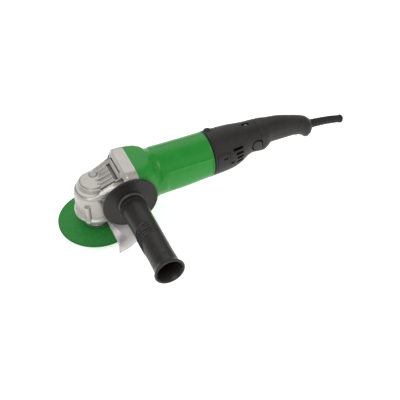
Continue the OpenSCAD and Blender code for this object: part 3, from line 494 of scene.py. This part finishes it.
GREEN = (0.012, 0.270, 0.024)
CHARCOAL = (0.022, 0.020, 0.019)
looks = {
    "cast_alloy": cast_alloy("cast_alloy", (0.47, 0.45, 0.42)),
    "screw_steel": metal("screw_steel", (0.62, 0.61, 0.60), 0.28),
    "felt": moulded("felt", (0.25, 0.24, 0.22), 0.95, 0.3, 0.1),
    "machined_steel": metal("machined_steel", (0.55, 0.55, 0.56), 0.24, brush=(1, 1, 12)),
    "gear_steel": metal("gear_steel", (0.30, 0.30, 0.32), 0.38),
    "bearing_steel": metal("bearing_steel", (0.70, 0.70, 0.72), 0.12, brush=(1, 1, 9)),
    "bronze": metal("bronze", (0.55, 0.38, 0.18), 0.4),
    "lock_cap": moulded("lock_cap", (0.46, 0.45, 0.43), 0.45, 0.5, 0.02),
    "spring_steel": metal("spring_steel", (0.50, 0.50, 0.52), 0.25),
    "abrasive": abrasive("abrasive", (0.015, 0.250, 0.032)),
    "guard_steel": metal("guard_steel", (0.60, 0.57, 0.56), 0.42, 0.55, (9, 1, 1), 0.02),
    "housing_green": moulded("housing_green", GREEN, 0.30, 0.8, 0.006, 0.05, coat=0.08),
    "inner_plastic": moulded("inner_plastic", (0.03, 0.03, 0.035), 0.5),
    "laminations": metal("laminations", (0.2, 0.2, 0.21), 0.5, brush=(14, 1, 1), relief=0.05),
    "copper_wire": metal("copper_wire", (0.55, 0.25, 0.10), 0.35, brush=(1, 8, 8), relief=0.1),
    "copper_bar": metal("copper_bar", (0.72, 0.40, 0.22), 0.3, brush=(10, 1, 1)),
    "brass_sheet": metal("brass_sheet", (0.70, 0.52, 0.20), 0.32),
    "carbon": moulded("carbon", (0.03, 0.03, 0.035), 0.6, 0.3, 0.03),
    "handle_black": moulded("handle_black", CHARCOAL, 0.47, 0.55, 0.035, 0.14, worn=0.25),
    "switch_plastic": moulded("switch_plastic", (0.10, 0.10, 0.11), 0.5),
    "trigger_black": moulded("trigger_black", (0.014, 0.014, 0.014), 0.42, 0.5, 0.03),
    "button_grey": moulded("button_grey", (0.034, 0.032, 0.030), 0.45, 0.5, 0.03),
    "sleeve_rubber": moulded("sleeve_rubber", (0.018, 0.017, 0.016), 0.62, 0.4, 0.02, 0.15),
    "grip_black": moulded("grip_black", (0.020, 0.018, 0.017), 0.36, 0.6, 0.025, 0.15,
                          worn=0.2),
    "grip_ring": moulded("grip_ring", (0.055, 0.054, 0.052), 0.33, 0.6, 0.006, coat=0.15),
}
slot_of = {row["node"]: row["material_slot"] for row in frame["record"]["subparts"]}


def settle(piece, body, slot, *stands_for):
    """Gives a finished piece its material and its body, and hides the CAD nodes that it stands for."""
    piece.data.materials.clear()
    piece.data.materials.append(looks[slot])
    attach(piece, body)
    if stands_for:
        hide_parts(*stands_for)


# ---- gear head ----

def gear_head():
    """The casting, with ribs up its sloping deck, open air slots and a groove round its neck."""
    parts = [copy_of("gear_housing", "gear_head_casting")]
    # ribs right of the lock button start behind it
    for y in (-20.5, -12.2, -3.6, 5.0, 13.6):
        start, top = (3.0, 89.4) if y < 4 else (13.0, 92.0)
        side = [(start, 84.0), (start, top), (start + 1.5, top + 0.7), (25.0, 96.7), (25.0, 90.0)]
        parts.append(prism(side, "y", y - 1.5, y + 1.5, "rib"))
    head = remould(join(parts), 0.5, 0.5, 2)
    grooves = []
    for (x, z), y_low, y_high in (((31.6, 99.7), -15, 21), ((29.0, 95.4), -21, 15)):
        grooves.append(prism(box_outline((x, z), (9, 2.9), 0.5), "y", y_low, y_high))
    neck = [(r, z) for r, z in ((29.6, 74.2), (28.2, 74.6), (28.2, 75.4), (29.6, 75.8))]
    grooves.append(lathe("neck", neck, "z", (0, 0, 0), 96))
    combine(head, [join(grooves)], "DIFFERENCE", 50)
    settle(head, "root", "cast_alloy", "gear_housing")


# ---- motor housing ----

# share of the length, half width, top and bottom from the motor axis, squareness
BARREL_ROWS = [
    [0.00, BLOCK_W / 2, BLOCK_H / 2, -BLOCK_H / 2, 5.0],
    [0.13, BLOCK_W / 2 - 1, BLOCK_H / 2 - 0.4, -BLOCK_H / 2 + 0.4, 4.0],
    [0.19, BARREL_R + 1.6, BARREL_R + 0.2, -BARREL_R - 0.2, 2.9],
    [0.25, BARREL_R + 0.2, BARREL_R, -BARREL_R, 2.2],
    [0.31, BARREL_R, BARREL_R, -BARREL_R, 2.0],
    [0.62, BARREL_R - 0.8, BARREL_R - 0.1, -BARREL_R + 1.0, 2.0],
    [0.86, BARREL_R - 1.6, BARREL_R, -BARREL_R + 3.5, 2.0],
    [1.00, BARREL_R - 2, BARREL_R + 0.3, -BARREL_R + 4.5, 2.0],
]


def move_out(points, centre_z, amount):
    """Moves a section's points away from its middle."""
    out = points[:, 1:] - np.array([0.0, centre_z])
    out /= np.linalg.norm(out, axis=1, keepdims=True)
    moved = points.copy()
    moved[:, 1:] += out * np.asarray(amount)[:, None]
    return moved


def barrel_relief(x, points):
    """Raised or sunk detail on the motor housing's skin."""
    y, z = points[:, 1], points[:, 2] - AXIS_Z
    along = step(97, 104, x) * (1 - step(JOINT_X - 2.5, JOINT_X - 1.5, x))
    side = step(20, 28, np.abs(y))
    panel = -1.5 * np.clip(1 - (z / 18) ** 2, 0, 1) * side * along
    ridge = 1.0 * band(18.2, 0.3, 1.1, z) * side * along
    scoop = -1.8 * band(86, 2, 5, x) * step(4, 14, z) * step(2, 12, np.abs(y))
    front_lip = -0.7 * (1 - step(0, 1.2, x - BARREL_FRONT))
    rear_lip = 0.45 * band(JOINT_X - 1.3, 0.5, 0.5, x) - 0.5 * step(JOINT_X - 0.6, JOINT_X, x)
    return panel + ridge + scoop + front_lip + rear_lip


def motor_housing():
    angles = -np.linspace(0, 2 * math.pi, 216, endpoint=False)
    fine = [0, 0.4, 0.8, 1.2, 2]
    shown = JOINT_X - BARREL_FRONT
    stations = fine + list(np.arange(3, shown - 3, 1.0))
    stations += [shown - v for v in (3, 2.4, 1.8, 1.3, 0.8, 0.4, 0)]
    rings = []
    for station in stations:
        x = BARREL_FRONT + station
        ring = section(BARREL_ROWS, station / BARREL_LEN, x, angles)
        rings.append(move_out(ring, AXIS_Z, barrel_relief(x, ring)))
    duct = [(JOINT_X, DUCT_R), (139, DUCT_R), (138.5, WIDE_DUCT_R), (BARREL_FRONT, WIDE_DUCT_R)]
    for x, radius in duct:
        rings.append(np.stack([np.full_like(angles, x), radius * np.cos(angles),
                               AXIS_Z + radius * np.sin(angles)], axis=1))
    housing = skin("motor_barrel", rings, closed=True)
    settle(housing, "root", "housing_green", "motor_housing")


# ---- rear handle ----

TAIL_ROWS = [
    [0.00, 34.0, 36.3, -31.5, 2.0],
    [0.10, 33.2, 36.0, -30.6, 2.0],
    [0.19, 31.5, 35.5, -28.5, 2.05],
    [0.27, 28.5, 34.8, -22.5, 2.15],
    [0.33, 25.0, 34.2, -15.0, 2.3],
    [0.38, 23.0, 33.8, -12.0, 2.4],
    [0.45, 22.5, 33.4, -12.8, 2.5],
    [0.50, 22.0, 33.0, -13.2, 2.5],
    [0.535, 20.5, 32.7, -9.0, 2.5],
    [0.57, 18.5, 32.2, -4.2, 2.4],
    [0.70, 17.0, 29.5, -4.6, 2.3],
    [0.85, 15.6, 22.0, -8.0, 2.2],
    [0.90, 15.8, 19.0, -12.0, 2.2],
    [0.935, 16.2, 16.6, -17.2, 2.2],
    [0.97, 14.5, 13.5, -15.0, 2.1],
    [1.00, 9.5, 8.5, -9.0, 2.0],
]
SHELL_WALL = 2.5
SHELL_SCREWS = [(18, 29), (60, 26), (92, 22), (142, 15)]
TOP_SCREW = (240.0, 1.7)
VENT_END = BARREL_END + 45.5
VENT_LENGTHS = [16.5, 12.5, 11, 11]


def dome(x, y, points, at_x, at_y, radius, height):
    """A round bump on the top of the shell."""
    away = np.hypot(x - at_x, points[:, 1] - at_y)
    upper = step(AXIS_Z, AXIS_Z + 10, points[:, 2])
    return height * np.sqrt(np.clip(1 - (away / radius) ** 2, 0, 1)) * upper


def tail_relief(x, points):
    """Raised or sunk detail on the handle's skin."""
    y, z = points[:, 1], points[:, 2]
    front_gap = -2.0 * (1 - step(JOINT_X + 0.6, JOINT_X + 2.0, x))
    bump = dome(x, y, points, BARREL_END + 5.5, 13.5, 5.6, 3.4)
    dimple = -dome(x, y, points, BARREL_END + 8, 5.0, 2.6, 0.8)
    pip = dome(x, y, points, TOP_SCREW[0] - 1.5, -7.4, 1.3, 0.7)
    upper = step(AXIS_Z + 6, AXIS_Z + 12, z)
    collar = -0.8 * band(252.5 + 0.12 * np.abs(y), 0.3, 0.5, x) * upper
    line_z = 94.4 - 0.19 * (x - 177.5)
    cover_line = -0.7 * band(line_z, 0.25, 0.45, z) * (1 - step(196, 198, x))
    cover_line = cover_line * step(20, 24, np.abs(y))
    hump = -0.4 * band(17.5, 0.3, 0.5, np.hypot(x - 331, z - 73))
    hump = hump * step(312, 318, x) * step(6, 9, np.abs(y))
    crown = 1.2 * band(BARREL_END + 26, 12, 22, x) * step(AXIS_Z + 22, AXIS_Z + 33, z)
    return front_gap + bump + dimple + pip + collar + cover_line + hump + crown


def d_outline(grow=0.0):
    """The lock-on button's outline: round, with one square corner behind and below."""
    x, z = (button_low[0] + button_high[0]) / 2, (button_low[2] + button_high[2]) / 2
    radius = 7.5 + grow
    turns = np.linspace(0, 1.5 * math.pi, 30)
    points = [(x + radius * math.cos(a), z + radius * math.sin(a)) for a in turns]
    return points + [(x + radius, z - radius)]


def half_shell(side):
    """One half of the handle's shell, uncut. side is -1 for the left and 1 for the right."""
    turns = np.linspace(0.5 * math.pi, -0.5 * math.pi, 91)
    if side < 0:
        turns = math.pi - turns
    turns = turns.copy()
    stations = [-2.5, -2.1, -1.6, -1.1, -0.5, 0, 1] + list(np.arange(2, TAIL_LEN - 1, 1.0)) + [TAIL_LEN]
    rings = []
    for station in stations:
        x, share = BARREL_END + station, max(station, 0) / TAIL_LEN
        outer = section(TAIL_ROWS, share, x, turns)
        outer = move_out(outer, AXIS_Z + 4, tail_relief(x, outer))
        inner = section(TAIL_ROWS, share, x, turns[::-1], SHELL_WALL)
        outer[[0, -1], 1] = side * 0.02
        inner[[0, -1], 1] = side * 0.02
        rings.append(np.concatenate([outer, inner]))
    return skin("shell_%s" % ("left" if side < 0 else "right"), rings, cap="strip")


def side_prism(outline, side, inner=5.0, outer=45.0):
    """A prism through one side of the handle."""
    low, high = sorted((side * inner, side * outer))
    return prism(outline, "y", low, high)


def rear_handle(side, name, node, cover_name, cover_node):
    shell = half_shell(side)
    shell.name = name
    cover_centre = ((cover_low[0] + cover_high[0]) / 2, (cover_low[2] + cover_high[2]) / 2)
    cover_size = (cover_high[0] - cover_low[0], cover_high[2] - cover_low[2])
    grown = (cover_size[0] + 1.1, cover_size[1] + 1.1)
    cover = half_shell(side)
    cover.name = cover_name
    combine(cover, [side_prism(box_outline(cover_centre, cover_size, 4), side, 15)], "INTERSECT")
    slot_at = (cover_centre[0] + 3, cover_centre[1] + 6)
    combine(cover, [side_prism(box_outline(slot_at, (7.5, 2.2), 0.6, 8), side, 15)], "DIFFERENCE")
    settle(cover, "root", "handle_black", cover_node)
    cutters = [side_prism(box_outline(cover_centre, grown, 4.4), side, 15)]
    for i, length in enumerate(VENT_LENGTHS):
        centre = (VENT_END - length / 2, AXIS_Z + 19 - 7 * i)
        cutters.append(side_prism(box_outline(centre, (length, 4.2), 0.9, 0), side, 8))
    short_vent = box_outline((BARREL_END + 27, AXIS_Z + 0.6), (6, 3.2), 0.8)
    cutters.append(side_prism(short_vent, side, 20))
    trigger_slot = [(272.4, 41), (319.6, 41), (319.6, 71.5), (272.4, 75.5)]
    cutters.append(prism(trigger_slot, "y", -40, 40))
    cutters.append(prism(circle((0, AXIS_Z), 7.4), "x", 338, 360))
    if side < 0:
        cutters.append(side_prism(d_outline(2.0), side, 10))
    else:
        for x, z in SHELL_SCREWS:
            depth = 12 if x < 40 else 9
            cutters.append(side_prism(circle((BARREL_END + x, AXIS_Z + z), 3.8), side, depth))
        pocket = box_outline((TOP_SCREW[0] - 1.2, TOP_SCREW[1] + 0.2), (11, 8.5), 1.2)
        cutters.append(prism(pocket, "z", AXIS_Z + 31, AXIS_Z + 40))
    combine(shell, [join(cutters)], "DIFFERENCE", 35)
    settle(shell, "root", "handle_black", node)


def recess_floor():
    """Floor and screw of the recess in the top of the handle."""
    top = AXIS_Z + 31.2
    outline = box_outline((TOP_SCREW[0] - 1.2, TOP_SCREW[1] + 0.2), (12.5, 9), 1.2)
    floor = prism(outline, "z", top - 1.6, top, "recess_floor")
    settle(floor, "root", "trigger_black")
    profile = fillet([(0, -2), (2.2, -2), (2.2, 0), (3.1, 0), (3.1, 1.0), (2.2, 1.7), (0, 1.9)],
                     [0, 0, 0, 0.2, 0.5, 0.4, 0])
    head = lathe("recess_screw", profile, "z", (TOP_SCREW[0], TOP_SCREW[1], top), 48)
    slots = [prism(box_outline(TOP_SCREW, size), "z", top + 0.9, top + 4)
             for size in ((4, 0.8), (0.8, 4))]
    combine(head, slots, "DIFFERENCE")
    settle(head, "root", "gear_steel")


def lock_on_button():
    outline = fillet(d_outline(), 0.6, 2)
    high = -button_low[1]
    button = prism(outline, "y", -BUTTON_BACK, -high, "lock_on_button_face")
    flange = prism(d_outline(1.5), "y", -BUTTON_BACK, -16.3)
    combine(button, [flange], "UNION")
    soften(button, 0.8, 3, 50)
    settle(button, "lock_on", "button_grey", "lock_on_button")


def cord_sleeve():
    """Tapered rubber sleeve with shallow rings near the handle and a bead at its free end."""
    steps = 90
    start, end = 339.0, 408.0
    outer, inner = [], []
    turns = np.linspace(0, 2 * math.pi, 40, endpoint=False)
    for i in range(steps + 1):
        u = i / steps
        x, z = start + (end - start) * u, AXIS_Z - 9 * u * u
        tilt = math.atan2(-18 * u, end - start)
        radius = 7.0 - 1.3 * u
        ribs = 0.35 * (0.5 + 0.5 * math.cos(2 * math.pi * (x - start) / 6.0)) * (1 - step(0.5, 0.75, u))
        bead = 0.75 * band(end - 2.2, 1.0, 1.4, x)
        for rings, r in ((outer, radius - ribs * step(0.2, 0.3, u) + bead), (inner, 3.8)):
            rings.append([(x - r * math.sin(a) * math.sin(tilt), r * math.cos(a),
                           z + r * math.sin(a) * math.cos(tilt)) for a in turns])
    sleeve = skin("cord_sleeve_rubber", outer + inner[::-1], closed=True)
    settle(sleeve, "root", "sleeve_rubber", "cord_sleeve")


# ---- side handle ----

def side_handle():
    face = -guard_high[1]
    reach = -guard_low[1]
    disc_r = (guard_high[0] - guard_low[0]) / 2
    disc = fillet([(4.2, 0), (14, 0), (14, 3.8), (20, 4.8), (disc_r - 1.5, 4.3), (disc_r, 4.9),
                   (disc_r, reach - face - 0.7), (disc_r - 1.4, reach - face), (disc_r - 5, reach - face - 0.6),
                   (26, reach - face - 0.6), (21, reach - face), (4.2, reach - face)],
                  [0.3, 0.8, 1.5, 3, 1, 0.8, 0.8, 1, 2, 3, 2, 0.3])
    guard = lathe("hand_guard_disc", disc, "y", (SIDE_X, -face, AXIS_Z), 192)
    settle(guard, "root", "grip_black", "side_handle_guard")
    height = ring_high[1] - ring_low[1]
    ring_r = (ring_high[0] - ring_low[0]) / 2
    band_profile = fillet([(4.1, 0), (ring_r, 0), (ring_r, height * 0.45),
                           (ring_r - 1.6, height), (4.1, height)], [0, 0.5, 1.2, 0.8, 0])
    ring = lathe("collar_ring", band_profile, "y", (SIDE_X, ring_high[1], AXIS_Z), 160)
    settle(ring, "root", "grip_ring", "side_handle_ring")


# radius, and distance from the collar ring
GRIP_PROFILE = [(18.1, 0), (18.6, 4), (18.5, 16), (17.9, 34), (17.7, 60), (17.5, 80), (17.2, 104),
                (17.7, 124), (19.7, 130), (21.1, 132.2)]


def grip_radius(t):
    heights = [h for _, h in GRIP_PROFILE]
    return np.interp(t, heights, [r for r, _ in GRIP_PROFILE])


def grip_relief(t, angles):
    """Finger ridges, fine rings and two gate marks. Angle 0 is up, and rises towards the head."""
    turned = np.degrees(angles)
    inside = band(48, 42, 22, turned)
    lift = np.zeros_like(angles)
    for k in range(5):
        centre = 54 + 4.5 * k + 9.0 * ((turned - 20) / 60) ** 2
        lift += 1.4 * np.exp(-((t - centre) / 0.9) ** 2) * inside
    for k in range(3):
        lift += 0.3 * np.exp(-((t - 44 - 2.6 * k) / 0.6) ** 2) * band(0, 35, 20, turned)
    for at, angle in ((104, 27), (114, -3)):
        away = np.hypot(t - at, np.radians(turned - angle) * 17.3)
        lift += 0.5 * np.exp(-(away / 1.5) ** 2)
    lift += -0.5 * band(8, 0.3, 0.6, t)
    return lift


def side_grip():
    length = grip_high[1] - grip_low[1]
    fine = np.arange(0.0, 124.0, 0.7)
    stations = list(fine) + list(np.linspace(124, 132.2, 14))
    angles = np.linspace(-math.pi, math.pi, 200, endpoint=False)
    rings = []

    def ring(t, radius):
        return np.stack([SIDE_X - radius * np.sin(angles), np.full_like(angles, grip_high[1] - t),
                         AXIS_Z + radius * np.cos(angles)], axis=1)

    rings.append(ring(0, np.full_like(angles, 4.1)))
    rings.append(ring(0, np.full_like(angles, 17.4)))
    for t in stations:
        ease = 0.7 * math.exp(-t / 0.5)
        rings.append(ring(t + 0.02, grip_radius(t) - ease + grip_relief(t, angles)))
    lip = [(21.0, 133.2), (20.2, length), (18.4, length), (17.3, 132.6), (16.3, 129.5),
           (15.0, 126), (14.8, 120), (14.8, 88), (4.1, 88)]
    for radius, t in lip:
        rings.append(ring(t, np.full_like(angles, radius)))
    grip = skin("side_grip", rings, closed=True)
    settle(grip, "root", "grip_black", "side_handle_grip")


# ---- disc and guard ----

def grinding_disc():
    radius = (disc_high[0] - disc_low[0]) / 2
    height = disc_high[2] - disc_low[2]
    profile = fillet([(11.1, 0), (radius - 0.6, 0), (radius, 0.6), (radius, height - 0.6),
                      (radius - 0.6, height), (21.5, height), (20.5, height - 0.25),
                      (11.1, height - 0.25)], [0.2, 0.3, 0.3, 0.3, 0.3, 0.2, 0.2, 0.2], 3)
    disc = lathe("grinding_wheel", profile, "z", (0, 0, disc_low[2]), 256)
    settle(disc, "spindle", "abrasive", "grinding_disc")


def wheel_guard():
    guard = soften(copy_of("wheel_guard", "guard_pressing"), 0.35, 3, 40)
    settle(guard, "guard", "guard_steel", "wheel_guard")


def small_parts():
    """CAD nodes whose shape is right keep it, with softened edges on the pieces that show."""
    shown = {"lock_cap": 0.6, "lock_nut": 0.5, "inner_flange": 0.4, "bearing_box": 0.4,
             "switch_trigger": 0.7, "guard_clamp_screw": 0.2, "bearing_box_screws": 0.2,
             "housing_screws": 0.25, "handle_screws": 0.25}
    for name, node in nodes.items():
        node.data.materials.clear()
        node.data.materials.append(looks[slot_of[name]])
        if name in shown:
            weld = node.modifiers.new("weld", "WELD")
            weld.merge_threshold = 1e-6
            bevel = node.modifiers.new("bevel", "BEVEL")
            bevel.width = shown[name] * MM
            bevel.segments = 3
            bevel.limit_method = "ANGLE"
            bevel.angle_limit = math.radians(35)


# ---- studio ----

def studio():
    world = bpy.data.worlds.new("studio")
    bpy.context.scene.world = world
    world.use_nodes = True
    world.node_tree.nodes["Background"].inputs["Color"].default_value = (1, 1, 1, 1)
    world.node_tree.nodes["Background"].inputs["Strength"].default_value = 0.50
    low = cad_box[0].z - 0.0004
    half = 6.0
    square = [(-half, -half, low), (half, -half, low), (half, half, low), (-half, half, low)]
    floor = make("floor", np.array(square) / MM, [(0, 1, 2, 3)])
    paint = Recipe("floor_paint")
    patches = paint.span(paint.noise(400, 2), 0.3, 0.7)
    paint.colour(paint.mix(patches, (0.93, 0.93, 0.93), (0.95, 0.95, 0.95)))
    paint.set(roughness=0.9, emission_color=(1, 1, 1, 1), emission_strength=0.62)
    floor.data.materials.append(paint.material)
    middle = (cad_box[0] + cad_box[1]) / 2
    # name, place from the middle of the tool, size in metres, power in watts
    lamps = [("key", (-0.75, -0.55, 1.25), 0.9, 7), ("fill", (0.9, -0.9, 0.8), 1.2, 2.2),
             ("back", (0.2, 1.1, 1.0), 1.2, 4)]
    for name, offset, size, power in lamps:
        light = bpy.data.lights.new(name, "AREA")
        light.energy = power
        light.size = size
        lamp = bpy.data.objects.new(name, light)
        lamp.location = middle + Vector(offset)
        lamp.rotation_euler = (-Vector(offset)).to_track_quat("-Z", "Y").to_euler()
        bpy.context.scene.collection.objects.link(lamp)


def camera():
    position, target = Vector((-0.2013, -0.7948, 0.8350)), Vector((0.1644, 0.0, -0.0179))
    lens = bpy.data.cameras.new("camera")
    lens.sensor_width = 36
    lens.lens = 70.87
    eye = bpy.data.objects.new("camera", lens)
    eye.location = position
    eye.rotation_euler = (target - position).to_track_quat("-Z", "Y").to_euler()
    bpy.context.scene.collection.objects.link(eye)
    bpy.context.scene.camera = eye
    bpy.context.scene.view_settings.view_transform = "Standard"


camera()
studio()
gear_head()
motor_housing()
rear_handle(-1, "rear_shell_left", "rear_handle_left", "brush_cap_left", "brush_cover_left")
rear_handle(1, "rear_shell_right", "rear_handle_right", "brush_cap_right", "brush_cover_right")
recess_floor()
lock_on_button()
cord_sleeve()
side_handle()
side_grip()
grinding_disc()
wheel_guard()
small_parts()
